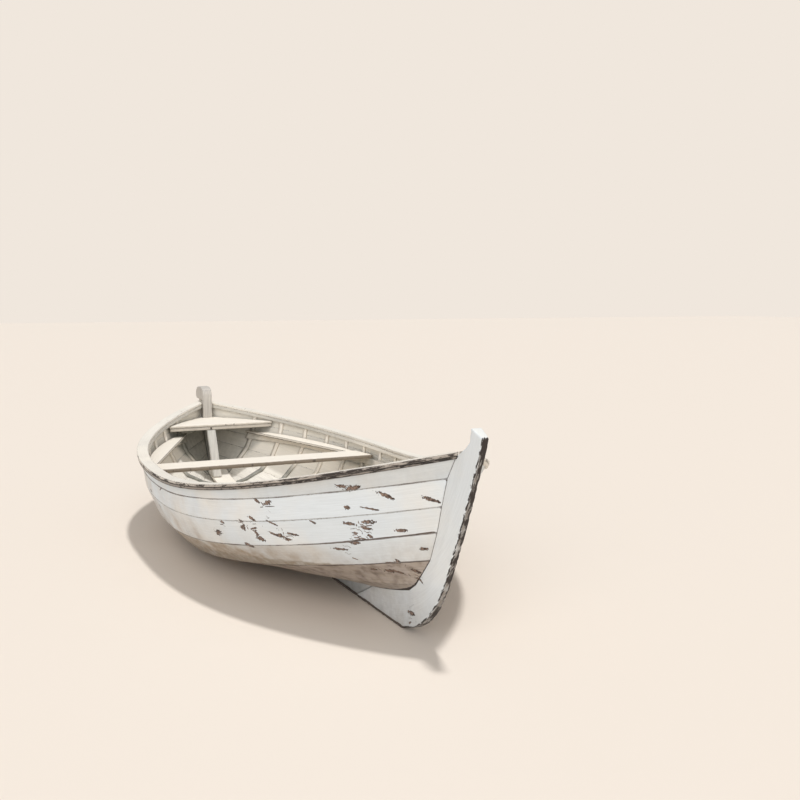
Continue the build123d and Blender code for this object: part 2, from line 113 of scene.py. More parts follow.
def oldPaint(name, **changes):
    look = dict(paintLook, **changes)
    material = bpy.data.materials.new(name)
    material.use_nodes = True
    tree = material.node_tree
    shader = tree.nodes["Principled BSDF"]
    place = addNode(tree, "TexCoord", {}, {}).outputs["Object"]
    board = addNode(tree, "Attribute", {"attribute_name": "board"}, {}).outputs["Vector"]
    mark = addNode(tree, "Attribute", {"attribute_name": "mark"}, {}).outputs["Vector"]
    amount = {n: addNode(tree, "Attribute", {"attribute_name": n}, {}).outputs["Fac"]
              for n in ("edge", "seam", "inboard", "grime", "stainAndShade", "dampAndShade")}

    cloud = addNode(tree, "TexNoise", {}, {"Vector": place, "Scale": 1 / look["cloudSize"], "Detail": 4.0,
                                           "Roughness": 0.55}).outputs["Fac"]
    mottle = addNode(tree, "TexNoise", {}, {"Vector": place, "Scale": 1 / look["mottleSize"], "Detail": 4.0,
                                            "Roughness": 0.6}).outputs["Fac"]
    flake = addNode(tree, "TexNoise", {}, {"Vector": place, "Scale": 1 / look["flakeSize"], "Detail": 3.0,
                                           "Roughness": 0.6})
    alongBoard = addNode(tree, "VectorMath", {"operation": "MULTIPLY"},
                         {0: board, 1: (1 / look["brushLong"], 1 / look["brushWide"], 1.0)}).outputs[0]
    brush = addNode(tree, "TexNoise", {}, {"Vector": alongBoard, "Scale": 1.0, "Detail": 3.0,
                                           "Roughness": 0.6}).outputs["Fac"]
    alongEdge = addNode(tree, "VectorMath", {"operation": "MULTIPLY"},
                        {0: board, 1: (1 / look["chipLong"], 1 / look["chipWide"], 1.0)}).outputs[0]
    chip = addNode(tree, "TexNoise", {}, {"Vector": alongEdge, "Scale": 1.0, "Detail": 4.0,
                                          "Roughness": 0.65}).outputs["Fac"]

    # the paint film
    yellowed = addNode(tree, "MapRange", {"interpolation_type": "SMOOTHSTEP"},
                       {"Value": cloud, "From Min": 0.38, "From Max": 0.70}).outputs[0]
    paint = addNode(tree, "Mix", {"data_type": "RGBA"},
                    {0: yellowed, 6: linear(look["cool"]), 7: linear(look["warm"])}).outputs[2]
    paint = addNode(tree, "Mix", {"data_type": "RGBA"},
                    {0: amount["inboard"], 6: paint, 7: linear(look["inside"])}).outputs[2]
    stainPatch = addNode(tree, "MapRange", {}, {"Value": mottle, "From Min": 0.25, "From Max": 0.75,
                                                "To Min": 0.55, "To Max": 1.25}).outputs[0]
    stain = addNode(tree, "Math", {"operation": "MULTIPLY", "use_clamp": True},
                    {0: amount["stainAndShade"], 1: stainPatch}).outputs[0]
    paint = addNode(tree, "Mix", {"data_type": "RGBA"},
                    {0: stain, 6: paint, 7: linear(look["stain"])}).outputs[2]
    dampAndShadePatch = addNode(tree, "MapRange", {}, {"Value": mottle, "From Min": 0.3, "From Max": 0.7,
                                               "To Min": 0.85, "To Max": 1.1}).outputs[0]
    dampAndShade = addNode(tree, "Math", {"operation": "MULTIPLY", "use_clamp": True},
                   {0: amount["dampAndShade"], 1: dampAndShadePatch}).outputs[0]
    paint = addNode(tree, "Mix", {"data_type": "RGBA"},
                    {0: dampAndShade, 6: paint, 7: linear(look["dampAndShade"])}).outputs[2]
    streak = addNode(tree, "MapRange", {}, {"Value": brush, "From Min": 0.3, "From Max": 0.7,
                                            "To Min": 1 - look["brush"], "To Max": 1.0}).outputs[0]
    paint = addNode(tree, "Mix", {"data_type": "RGBA", "blend_type": "MULTIPLY"},
                    {0: 1.0, 6: paint, 7: streak}).outputs[2]

    # dirt that has settled along edges and seams
    ragged = addNode(tree, "Math", {"operation": "MULTIPLY_ADD"},
                     {0: chip, 1: -0.004, 2: amount["edge"]}).outputs[0]
    dirtWide = addNode(tree, "Math", {"operation": "MULTIPLY_ADD"},
                       {0: amount["seam"], 1: look["seamWide"], 2: 0.0003}).outputs[0]
    dirtAt = addNode(tree, "Math", {"operation": "DIVIDE"}, {0: ragged, 1: dirtWide}).outputs[0]
    dirtLine = addNode(tree, "MapRange", {"interpolation_type": "SMOOTHSTEP"},
                       {"Value": dirtAt, "From Min": 0.55, "From Max": -0.1,
                        "To Min": 0.0, "To Max": look["seamDark"]}).outputs[0]
    dirt = addNode(tree, "Math", {"operation": "MULTIPLY", "use_clamp": True},
                   {0: dirtLine, 1: amount["seam"]}).outputs[0]
    paint = addNode(tree, "Mix", {"data_type": "RGBA"},
                    {0: dirt, 6: paint, 7: linear(look["seam"])}).outputs[2]

    # tar and rot in broken patches
    grimeEdge = addNode(tree, "Math", {"operation": "MULTIPLY_ADD"},
                        {0: chip, 1: 1.3, 2: amount["grime"]}).outputs[0]
    grime = addNode(tree, "MapRange", {"interpolation_type": "SMOOTHSTEP"},
                    {"Value": grimeEdge, "From Min": 1.09, "From Max": 1.21}).outputs[0]
    paint = addNode(tree, "Mix", {"data_type": "RGBA"},
                    {0: grime, 6: paint, 7: linear(look["grime"])}).outputs[2]

    # flakes: the mark attribute is a place in the flake, 1 at its border, pushed about to break the outline
    push = addNode(tree, "VectorMath", {"operation": "MULTIPLY_ADD"},
                   {0: flake.outputs["Color"], 1: (2.2, 2.2, 0.0), 2: (-1.1, -1.1, 0.0)}).outputs[0]
    markXyz = addNode(tree, "SeparateXYZ", {}, {"Vector": mark})
    inMark = addNode(tree, "VectorMath", {"operation": "MULTIPLY_ADD"},
                     {0: mark, 1: (1.0, 1.0, 0.0), 2: push}).outputs[0]
    fromMiddle = addNode(tree, "VectorMath", {"operation": "LENGTH"}, {0: inMark}).outputs["Value"]
    shape = addNode(tree, "MapRange", {},
                    {"Value": fromMiddle, "From Min": 1.15, "From Max": 0.60}).outputs[0]
    loss = addNode(tree, "Math", {"operation": "MULTIPLY"}, {0: shape, 1: markXyz.outputs["Z"]}).outputs[0]
    bareEdge = addNode(tree, "MapRange", {}, {"Value": ragged, "From Min": look["bare"], "From Max": -0.004,
                                              "To Min": 0.0, "To Max": 0.9}).outputs[0]
    loss = addNode(tree, "Math", {"operation": "MAXIMUM"}, {0: loss, 1: bareEdge}).outputs[0]
    loss = addNode(tree, "Math", {"operation": "MULTIPLY_ADD"},
                   {0: flake.outputs["Fac"], 1: 1.0, 2: loss}).outputs[0]
    rim = addNode(tree, "MapRange", {"interpolation_type": "SMOOTHSTEP"},
                  {"Value": loss, "From Min": 0.94, "From Max": 1.04}).outputs[0]
    bare = addNode(tree, "MapRange", {"interpolation_type": "SMOOTHSTEP"},
                   {"Value": loss, "From Min": 1.36, "From Max": 1.50}).outputs[0]
    woodPatch = addNode(tree, "MapRange", {}, {"Value": flake.outputs["Fac"], "From Min": 0.35,
                                               "From Max": 0.68}).outputs[0]
    wood = addNode(tree, "Mix", {"data_type": "RGBA"},
                   {0: woodPatch, 6: linear(look["woodDark"]), 7: linear(look["woodLight"])}).outputs[2]
    paint = addNode(tree, "Mix", {"data_type": "RGBA"},
                    {0: rim, 6: paint, 7: linear(look["rim"])}).outputs[2]
    colour = addNode(tree, "Mix", {"data_type": "RGBA"}, {0: bare, 6: paint, 7: wood}).outputs[2]
    tree.links.new(colour, shader.inputs["Base Color"])
    shader.inputs["Roughness"].default_value = look["roughness"]
    shader.inputs["IOR"].default_value = 1.45

    # the film stands 0.6 mm above the wood, and the brush marks stand on the film
    film = addNode(tree, "Math", {"operation": "MULTIPLY_ADD"}, {0: rim, 1: -1.0, 2: 1.0}).outputs[0]
    relief = addNode(tree, "Math", {"operation": "MULTIPLY_ADD"}, {0: brush, 1: 0.35, 2: film}).outputs[0]
    relief = addNode(tree, "Math", {"operation": "MULTIPLY_ADD"}, {0: mottle, 1: 0.5, 2: relief}).outputs[0]
    bump = addNode(tree, "Bump", {}, {"Strength": 0.5, "Distance": 0.0012, "Height": relief})
    tree.links.new(bump.outputs[0], shader.inputs["Normal"])
    return material


materials = {
    "hull_paint": oldPaint("oldPaint.hull"),
    "bottom_paint": oldPaint("oldPaint.bottom", cool="#BDB0A7", warm="#887A6F", stain="#C4B6A6",
                             seam="#3E322C", woodLight="#8A7263", woodDark="#6A5449", brush=0.30,
                             mottleSize=0.022, cloudSize=0.055),
    "rail_paint": oldPaint("oldPaint.rail", cool="#EFE9DE", warm="#F2EADD", stain="#AFA69D", brush=0.12,
                           chipLong=0.055, chipWide=0.012),
    "rubbing_paint": oldPaint("tarredPaint.rubbingStrake", cool="#8C857E", warm="#A0978D", inside="#F3ECE1",
                              stain="#C9C3BA", grime="#2E2927", seam="#262120", brush=0.25, chipWide=0.018),
    "inside_paint": oldPaint("oldPaint.inside", cool="#FAF3E8", warm="#F8F0E3", seam="#8A7D70",
                             seamDark=0.5),
    "seat_paint": oldPaint("oldPaint.seats", cool="#F2EADD", warm="#F3EADC", inside="#F0E7D9",
                           grime="#5A5048", stain="#887C6D", seam="#6E6358", brush=0.08),
    "backbone_paint": oldPaint("oldPaint.backbone", cool="#E9EEF1", warm="#EFF0EE", inside="#E4E4E0",
                               stain="#8D867F", grime="#352E2B", seam="#45403D", brush=0.10, chipLong=0.032,
                               chipWide=0.012, bare=0.001),
    "floor_wood": oldPaint("bareWood.floorboards", cool="#C9BDAB", warm="#BFB19D", inside="#C9BDAB",
                           stain="#8F8170", brush=0.30, brushWide=0.006),
    "shoe_wood": oldPaint("bareWood.keelShoe", cool="#5E544C", warm="#6B6057", inside="#5E544C",
                          stain="#3A332E", brush=0.35),
}
postPaint = oldPaint("oldPaint.sternpost", cool="#C9C3BB", warm="#D2CBC1", inside="#ECE9E3",
                     stain="#8E8579", grime="#4A423C", seam="#4D4643", brush=0.30, brushWide=0.009,
                     brushLong=0.20, bare=0.001)
puttyPaint = oldPaint("putty.seams", cool="#C9C6BF", warm="#C2BDB4", stain="#50423A", brush=0.2,
                      mottleSize=0.06)
ownPaint = {"sternpost": postPaint, "stanchion": postPaint}
print("paints mixed:", len(materials) + 2)


def welded(nodeName):
    # each smooth face keeps its own number when the faces are joined
    bm = bmesh.new()
    bm.from_mesh(frame["nodes"][nodeName].data)
    number = bm.faces.layers.int.new("number")
    found = 0
    for first in bm.faces:
        if first[number]:
            continue
        found += 1
        first[number] = found
        waiting = [first]
        while waiting:
            for edge in waiting.pop().edges:
                for face in edge.link_faces:
                    if not face[number]:
                        face[number] = found
                        waiting.append(face)
    bmesh.ops.remove_doubles(bm, verts=bm.verts, dist=1e-5)
    return bm


def sharpEdges(bm):
    return [e for e in bm.edges if len(e.link_faces) == 2 and e.calc_face_angle() > sharpAngle]


def faceBorders(bm):
    number = bm.faces.layers.int["number"]
    return [e for e in bm.edges
            if len(e.link_faces) == 2 and e.link_faces[0][number] != e.link_faces[1][number]]


def cornerLines(nodeName):
    # the long edges of a board, each one from its after end to its fore end
    bm = welded(nodeName)
    sharp = faceBorders(bm) if "garboard" in nodeName else sharpEdges(bm)
    around = {}
    for edge in sharp:
        for vert in edge.verts:
            around.setdefault(vert, []).append(edge)
    corners = {vert for vert, edges in around.items() if len(edges) >= 3}
    used = {edge for edge in sharp if edge.verts[0] in corners and edge.verts[1] in corners and
            edge.calc_length() < 0.5}
    lines = []
    for start in corners:
        for edge in around[start]:
            if edge in used:
                continue
            line = [start]
            while edge is not None:
                used.add(edge)
                line.append(edge.other_vert(line[-1]))
                if line[-1] in corners:
                    break
                edge = next((e for e in around[line[-1]] if e not in used), None)
            points = np.array([v.co[:] for v in line])
            lines.append(points if points[0, 0] < points[-1, 0] else points[::-1])
    bm.free()
    assert len(lines) == 4, (nodeName, len(lines))
    return lines


def resampled(line, count):
    # even steps on a smooth curve through the points
    gaps = np.linalg.norm(np.diff(line, axis=0), axis=1)
    keep = np.append(True, gaps > 1e-6)
    line = line[keep]
    run = np.append(0, np.cumsum(np.linalg.norm(np.diff(line, axis=0), axis=1)))
    slope = np.gradient(line, run, axis=0)
    at = np.linspace(0, run[-1], count)
    i = np.clip(np.searchsorted(run, at) - 1, 0, len(run) - 2)
    long = (run[i + 1] - run[i])[:, None]
    t = ((at - run[i])[:, None]) / long
    return ((2 * t ** 3 - 3 * t ** 2 + 1) * line[i] + (t ** 3 - 2 * t ** 2 + t) * long * slope[i]
            + (-2 * t ** 3 + 3 * t ** 2) * line[i + 1] + (t ** 3 - t ** 2) * long * slope[i + 1])


def orderedLines(nodeName, facing, step):
    # face first, face second, back second, back first
    lines = cornerLines(nodeName)
    length = max(np.linalg.norm(np.diff(line, axis=0), axis=1).sum() for line in lines)
    lines = [resampled(line, max(4, round(length / step))) for line in lines]
    middles = [line[len(line) // 2] for line in lines]
    centre = sum(middles) / 4
    side = -1 if "starboard" in nodeName else 1
    if facing == "out":
        outward = centre - np.array([centre[0], 0, 0.6])
        firstBy = np.array([0, 0, 1.0])
    else:
        outward = np.array([0, 0, 1.0])
        firstBy = np.array([0, side, 0.0])
    others = [1, 2, 3]
    partner = min(others, key=lambda k: np.linalg.norm(middles[0] - middles[k]))
    pairs = [(0, partner), tuple(k for k in others if k != partner)]
    pairs = [pair if (middles[pair[0]] - middles[pair[1]]) @ outward > 0 else pair[::-1] for pair in pairs]
    pairs.sort(key=lambda pair: -middles[pair[0]] @ firstBy)
    (a, d), (b, c) = pairs
    return [lines[k] for k in (a, b, c, d)]


# Where the paint has flaked on the starboard side, in metres. Each row is a patch: its middle's x and z, how
# far it spreads along and up, how many flakes it holds, and how long and high one usually is. The port side
# has every second flake, moved aft and down.
patches = (
    (1.85, 0.70, 0.25, 0.08, 6, 0.055, 0.018),
    (1.85, 0.52, 0.20, 0.07, 12, 0.045, 0.015),
    (1.75, 0.33, 0.15, 0.05, 8, 0.050, 0.016),
    (1.30, 0.50, 0.30, 0.10, 12, 0.050, 0.018),
    (1.00, 0.37, 0.35, 0.06, 8, 0.050, 0.018),
    (1.80, 0.07, 0.08, 0.04, 3, 0.060, 0.018),
    (-0.80, 0.40, 0.90, 0.12, 6, 0.055, 0.018),
)
flakeDraws = np.random.default_rng(18)
flakes = []
for x, z, along, up, count, long, high in patches:
    for place in flakeDraws.uniform(-1, 1, (count, 2)) * (along, up):
        size = flakeDraws.uniform(0.5, 1.6, 2) * (long, high)
        flakes.append((x + place[0], z + place[1], *size, flakeDraws.uniform(-0.4, 0.4)))
portFlakes = [(x - 0.37 + 0.5 * (z - 0.45), z - 0.045, high * 3.1, high, -slope)
              for x, z, long, high, slope in flakes[::2]]
specks = (
    # x, z, length, height and slope of places where faint flecks gather
    (0.35, 0.25, 0.30, 0.05, -0.10),
    (0.30, 0.20, 0.35, 0.05, 0.05),
    (1.35, 0.55, 0.15, 0.03, 0.0),
    (0.80, 0.35, 0.20, 0.08, 0.10),
)
reach = 0.022          # how far beyond a flake its attribute is kept, so that flakes don't run together


def markField(points, marks, faint):
    # place in the nearest flake, and how strong it is there
    field = np.zeros((len(points), 3))
    nearest = np.full(len(points), np.inf)
    for number, (x, z, long, high, slope) in enumerate(list(marks) + list(faint)):
        dx = points[:, 0] - x
        dz = points[:, 2] - z - slope * dx
        outside = np.maximum(np.maximum(np.abs(dx) - long / 2, np.abs(dz) - high / 2), 0)
        closer = outside < nearest
        nearest = np.where(closer, outside, nearest)
        strength = (1.0 if number < len(marks) else 0.34) * np.clip(2 - outside / reach * 2, 0, 1)
        field[closer] = np.stack([dx / (long / 2), dz / (high / 2), strength], 1)[closer]
    return field


def writeAttributes(mesh, values):
    for name, array in values.items():
        kind = "FLOAT_VECTOR" if array.ndim == 2 else "FLOAT"
        layer = mesh.attributes.new(name, kind, "POINT")
        layer.data.foreach_set("vector" if array.ndim == 2 else "value", array.astype(np.float32).ravel())


def unevenness(points, size, seed):
    return np.array([noise.noise(Vector(p) / size + Vector((0, 0, seed))) for p in points])


def finishPiece(mesh, name, nodeName):
    piece = bpy.data.objects.new(name, mesh)
    bpy.context.scene.collection.objects.link(piece)
    mesh.materials.clear()
    mesh.materials.append(ownPaint.get(nodeName, materials[slotOf[nodeName]]))
    for polygon in mesh.polygons:
        polygon.use_smooth = True
    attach(piece, "root")
    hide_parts(nodeName)
    return piece


def between(value, low, high):
    return np.clip((value - low) / (high - low), 0, 1)


# Painted shade inside, in metres, in a grey-green mildew colour. It lies abaft a slope that runs down and aft
# from the front edge of the stern seat, and under the ends of the thwart.
paintedShadeInside = {
    "ahead": 0.02,             # where the slope starts, ahead of the seat's front edge
    "startHeight": 0.57,
    "slope": 0.62,
    "top": 0.60,
    "shadeAndMildew": 0.76,
    "lighterToPort": 0.28,
    "endFrom": (0.68, 0.72),   # the thwart's end begins and is full, out from the middle line
    "abaftThwart": (0.40, 0.28),
    "aheadOfThwart": (0.08, 0.03),
    "belowThwart": (0.11, 0.07),
    "endShade": 0.6,
}


def paintedShadeUnderSeats(points):
    shadeAndMildew = paintedShadeInside
    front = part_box("stern_seat")[1][0] + shadeAndMildew["ahead"] - shadeAndMildew["slope"] * (shadeAndMildew["startHeight"] - points[:, 2])
    depth = np.clip((front - points[:, 0]) / 0.05, 0, 1) * np.clip((shadeAndMildew["top"] - points[:, 2]) / 0.02, 0, 1)
    depth = depth * (shadeAndMildew["shadeAndMildew"] - shadeAndMildew["lighterToPort"] * np.clip(points[:, 1] / 0.2 + 0.5, 0, 1))
    x, y, z = points.T
    low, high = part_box("thwart")
    nearEnd = between(np.abs(y), *shadeAndMildew["endFrom"])
    nearEnd = nearEnd * between(x, *(low[0] - far for far in shadeAndMildew["abaftThwart"]))
    nearEnd = nearEnd * between(x, *(high[0] + far for far in shadeAndMildew["aheadOfThwart"]))
    nearEnd = nearEnd * between(z, *(low[2] - far for far in shadeAndMildew["belowThwart"]))
    return np.maximum(depth, shadeAndMildew["endShade"] * nearEnd * (z < low[2]))


# Long bent boards: planking, rails and floorboards.
boardKinds = {
    # name: face, step along, widest cell on face and back, radius of the arrises, how deep they are nicked
    "strake": {"facing": "out", "step": 0.010, "faceCell": 0.012,
               "backCell": 0.05, "round": 0.0016, "nick": 0.0012},
    "cap_rail": {"facing": "up", "step": 0.010, "faceCell": 0.010,
                 "backCell": 0.03, "round": 0.0035, "nick": 0.003},
    "rubbing": {"facing": "up", "step": 0.010, "faceCell": 0.006,
                "backCell": 0.01, "round": 0.0040, "nick": 0.004},
    "inwale": {"facing": "out", "step": 0.016, "faceCell": 0.02,
               "backCell": 0.010, "round": 0.003, "nick": 0.001},
    "riser": {"facing": "out", "step": 0.016, "faceCell": 0.02,
              "backCell": 0.012, "round": 0.003, "nick": 0.001},
    "side_bench": {"facing": "up", "step": 0.012, "faceCell": 0.014,
                   "backCell": 0.06, "round": 0.003, "nick": 0.0015},
    "floorboard": {"facing": "up", "step": 0.014, "faceCell": 0.016,
                   "backCell": 0.06, "round": 0.002, "nick": 0.002},
    "keelson": {"facing": "up", "step": 0.016, "faceCell": 0.02,
                "backCell": 0.06, "round": 0.003, "nick": 0.001},
}
seedOf = {name: 3.7 * i for i, name in enumerate(sorted(frame["nodes"]))}
strakeNames = ("sheer", "upper", "side", "bilge", "floor", "garboard")
seamDirt = (0.5, 0.75, 0.30, 0.65, 1.0, 0.10, 1.5)        # over each strake in turn, and under the last
strakeDamp = {"upper": 0.0, "side": 0.04, "bilge": 0.05, "floor": 0.02, "garboard": 0.08}
lineStore = {}


def kindOf(nodeName):
    return next(kind for kind in boardKinds if kind in nodeName)


def boardRings(corners, kind):
    # one ring of points round the board at every station
    points, face, across, share, edge = [], [], [], [], []
    for i in range(4):
        here, after, before = corners[i], corners[(i + 1) % 4], corners[i - 1]
        toNext = after - here
        width = np.linalg.norm(toNext, axis=1, keepdims=True)
        toNext = toNext / width
        toLast = before - here
        toLast = toLast / np.linalg.norm(toLast, axis=1, keepdims=True)
        points.append(here + 0.293 * kind["round"] * (toNext + toLast))
        face.append(i)
        across.append(np.zeros(len(here)))
        share.append(np.zeros(len(here)))
        edge.append(np.zeros(len(here)))
        cell = kind["faceCell"] if i == 0 else kind["backCell"] if i == 2 else 0.012
        cells = max(1, math.ceil(width.max() / cell))
        for j in range(cells + 1):
            t = kind["round"] + (width - 2 * kind["round"]) * j / cells
            points.append(here + toNext * t)
            face.append(i)
            across.append(t[:, 0])
            share.append((t / width)[:, 0])
            edge.append(np.minimum(t, width - t)[:, 0] - kind["round"] * 0.6)
    return np.stack(points, 1), np.array(face), np.stack(across, 1), np.stack(share, 1), np.stack(edge, 1)


def boardMesh(name, rings):
    stations, around = rings.shape[:2]
    index = np.arange(stations * around).reshape(stations, around)
    a, b = index[:-1], index[1:]
    quads = np.stack([a, np.roll(a, -1, 1), np.roll(b, -1, 1), b], -1).reshape(-1, 4)
    mesh = bpy.data.meshes.new(name)
    mesh.from_pydata(rings.reshape(-1, 3).tolist(), [],
                     quads.tolist() + [index[0, ::-1].tolist(), index[-1].tolist()])
    bm = bmesh.new()
    bm.from_mesh(mesh)
    bmesh.ops.recalc_face_normals(bm, faces=bm.faces)
    bm.to_mesh(mesh)
    bm.free()
    return mesh


# Holes for the thole pins in the port rail, at the part's own mounts. The starboard rail has them mirrored.
tholes = {
    "radius": 0.007,
    "depth": 0.09,
    "places": ((-1.763, 0.427, 0.6435), (-2.007, 0.2624, 0.677)),
    "lean": (0.093, 0.062, 0.994),
}


def boreTholes(rail, side):
    # square to the top of the rail and right through it
    bm = bmesh.new()
    for x, y, z in tholes["places"]:
        lean = Vector((tholes["lean"][0], side * tholes["lean"][1], tholes["lean"][2]))
        place = Matrix.Translation((x, side * y, z)) @ lean.to_track_quat("Z", "Y").to_matrix().to_4x4()
        bmesh.ops.create_cone(bm, cap_ends=True, segments=24, radius1=tholes["radius"],
                              radius2=tholes["radius"], depth=tholes["depth"], matrix=place)
    mesh = bpy.data.meshes.new("tholeDrill")
    bm.to_mesh(mesh)
    bm.free()
    drill = bpy.data.objects.new("tholeDrill", mesh)
    bpy.context.scene.collection.objects.link(drill)
    cut = rail.modifiers.new("tholes", "BOOLEAN")
    cut.object = drill
    result = bpy.data.meshes.new_from_object(rail.evaluated_get(bpy.context.evaluated_depsgraph_get()))
    rail.modifiers.remove(cut)
    rail.data = result
    bpy.data.objects.remove(drill)
    bpy.data.meshes.remove(mesh)


def makeBoard(nodeName):
    kind = boardKinds[kindOf(nodeName)]
    corners = orderedLines(nodeName, kind["facing"], kind["step"])
    lineStore[nodeName] = corners
    rings, face, across, share, edge = boardRings(corners, kind)
    seed = seedOf[nodeName]
    stations, around = rings.shape[:2]
    flat = rings.reshape(-1, 3)
    length = np.linalg.norm(np.diff(corners[0], axis=0), axis=1).sum()
    along = np.repeat(np.linspace(0, 1, stations) * length, around).reshape(stations, around)
    fromEnd = np.minimum(along, along[-1, 0] - along)
    middle = np.repeat((sum(corners) / 4)[:, None, :], around, 1)

    # arrises are nicked here and there, and the whole board is a little uneven
    roughly = unevenness(flat, 0.035, seed).reshape(stations, around)
    nicked = np.clip(roughly * 2.2 - 0.25, 0, 1) * np.exp(-(np.maximum(edge, 0) / 0.003) ** 2)
    inward = middle - rings
    inward /= np.linalg.norm(inward, axis=2, keepdims=True)
    rings = np.clip(rings + inward * (nicked * kind["nick"])[:, :, None], *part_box(nodeName))

    sideId = np.repeat(face[None, :], stations, 0).ravel()
    share, across = share.ravel(), across.ravel()
    x = flat[:, 0]
    patchy = 1 + 1.3 * unevenness(flat, 0.16, seed)
    none = np.zeros(len(flat))
    values = {
        "board": np.stack([along.ravel(), across + sideId * 0.7, none + seed], -1),
        "edge": np.minimum(np.maximum(edge, 0), fromEnd).ravel(),
        "seam": 0.5 * patchy,
        "inboard": none,
        "grime": none,
        "stainAndShade": none,
        "dampAndShade": paintedShadeUnderSeats(flat),
        "mark": np.zeros((len(flat), 3)),
    }
    if "_strake" in nodeName and "rubbing" not in nodeName:
        name = nodeName.split("_")[0]
        number = strakeNames.index(name)
        outside = sideId == 0
        upperDirt, lowerDirt = seamDirt[number:number + 2]
        if name == "side":
            lowerDirt = lowerDirt + 1.3 * between(x, 1.35, 1.75)
        if name == "bilge":
            upperDirt = upperDirt + 0.9 * between(x, 1.35, 1.75)
        seam = np.where(share < 0.5, upperDirt, lowerDirt) * np.clip(patchy, 0.25, 2)
        seam = np.where(fromEnd.ravel() < 0.02, 0.9, seam)
        values["seam"] = np.where(outside, seam, 0.0)
        values["inboard"] = (sideId == 2).astype(float)
        aftTan = {
            "sheer": 0.05,
            "upper": 0.30 * between(x, 1.5, -0.6),
            "side": 0.50 * between(x, 1.0, -0.9),
            "bilge": 0.85 * between(x, 1.55, 0.75),
            "floor": 0.30 + 0.45 * between(x, 1.3, 0.4),
            "garboard": 0.30,
        }[name]
        towardsKeel = {
            "side": 0.30 * share * between(x, 1.3, 0.3),
            "bilge": 0.25 * (share - 0.3) + 0.12,
        }.get(name, 0.0)
        blotch = 1 + 0.9 * unevenness(flat, 0.11, seed + 5)
        if name in ("floor", "garboard"):
            blotch = blotch + 1.5 * unevenness(flat, 0.028, seed + 9)
        values["stainAndShade"] = np.where(outside, np.clip((aftTan + towardsKeel) * blotch, 0, 0.95), 0)
        # painted shade on the inner faces of the sheer and upper strakes, darkest in a band under the cap and
        # inwale
        shadowUnderRail = 0.42 * between(share, 0.70, 1.0) if name == "sheer" else 0.0
        inside = np.maximum(paintedShadeUnderSeats(flat), shadowUnderRail + (0.16 if name in ("sheer", "upper") else 0))
        # painted shade under the rubbing strake greys the sheer strake outside
        if name == "sheer":
            outsideDampAndShade = 0.09 * between(x, -1.4, 0.8) + 0.12 * between(x, 0.9, 1.7)
        else:
            outsideDampAndShade = strakeDamp[name] + 0.06 * between(x, 1.2, 1.8)
        values["dampAndShade"] = np.where(outside, outsideDampAndShade, inside * 0.9)
        if name == "bilge":
            # below a line that falls away aft it has been painted over with the bottom
            line = 0.150 + 0.125 * (x - 0.26) - flat[:, 2] + 0.006 * unevenness(flat, 0.05, seed)
            line = np.clip(line / 0.006, 0, 1) * outside
            values["dampAndShade"] = np.maximum(values["dampAndShade"], 0.24 * line)
            values["stainAndShade"] = np.maximum(values["stainAndShade"], 0.92 * line)
        if name in ("floor", "garboard"):
            # tar runs along the rabbet in the stem
            far = 0.031 + 0.006 * between(x, 1.9, 1.7)
            tar = 0.95 * between(np.abs(flat[:, 1]), far, far - 0.005)
            values["grime"] = tar * outside * between(x, 0.3, 1.0)
        marks, faint = (flakes, specks) if "starboard" in nodeName else (portFlakes, specks)
        values["mark"] = markField(flat, marks, faint) * outside[:, None]
    if "cap_rail" in nodeName:
        dark = 0.42 + 0.04 * between(x, -0.8, 0.2) + 0.06 * between(x, 1.0, 1.6)
        dark = dark + 0.34 * unevenness(flat, 0.16, seed) - (0.0 if "starboard" in nodeName else 0.12)
        top = np.clip(1 - across / 0.009, 0, 1) * (sideId == 0)
        values["grime"] = dark * (sideId == 3) + (dark - 0.12) * top
        grey = 0.35 + 0.75 * between(x, 0.2, 1.2) if "starboard" in nodeName else 0.1
        values["stainAndShade"] = 0.12 * (sideId == 0) * patchy + grey * (sideId == 3)
        values["seam"] = np.where((sideId == 0) & (share > 0.5), 0.6, 0.1)
    if "rubbing" in nodeName:
        dark = 0.26 + 0.10 * between(x, -0.6, 0.6) + 0.14 * between(x, 0.8, 1.6)
        lowLine = 0.38 * np.exp(-(across / 0.007) ** 2) * (sideId == 3) + 0.30 * (sideId == 2)
        # the port rubbing strake turns to its pale colour near the bow
        paleNearPortBow = between(x, 1.0, 1.4) * ("starboard" not in nodeName)
        values["grime"] = (dark + lowLine + 0.22 * unevenness(flat, 0.16, seed)) * (1 - paleNearPortBow)
        values["stainAndShade"] = 0.8 * between(x, 0.8, -0.6) * (1 - paleNearPortBow)
        values["inboard"] = none + paleNearPortBow
        values["seam"] = 1.2 * (1 - paleNearPortBow)
    if "inwale" in nodeName:
        # painted shadow of the cap rail on the inwale, towards the stern
        values["dampAndShade"] = np.maximum(values["dampAndShade"], 0.42 * between(x, -0.5, -1.3) * (sideId != 3))
    if "riser" in nodeName:
        values["stainAndShade"] = none + 0.2
        values["dampAndShade"] = np.maximum(values["dampAndShade"], 0.12)
    if "side_bench" in nodeName:
        values["stainAndShade"] = 0.15 * (sideId == 1)
        values["grime"] = 0.85 * (sideId == 1) * between(share, 0.6, 0.85)
        values["seam"] = np.where((sideId == 0) & (share > 0.5), 1.2, 0.5)
    mesh = boardMesh(nodeName + ".board", rings)
    writeAttributes(mesh, values)
    piece = finishPiece(mesh, nodeName + ".board", nodeName)
    if "cap_rail" in nodeName:
        boreTholes(piece, 1 if "port" in nodeName else -1)


boardNodes = [n for n in frame["nodes"] if any(kind in n for kind in boardKinds)]
for nodeName in sorted(boardNodes):
    makeBoard(nodeName)
print("boards bent:", len(boardNodes))


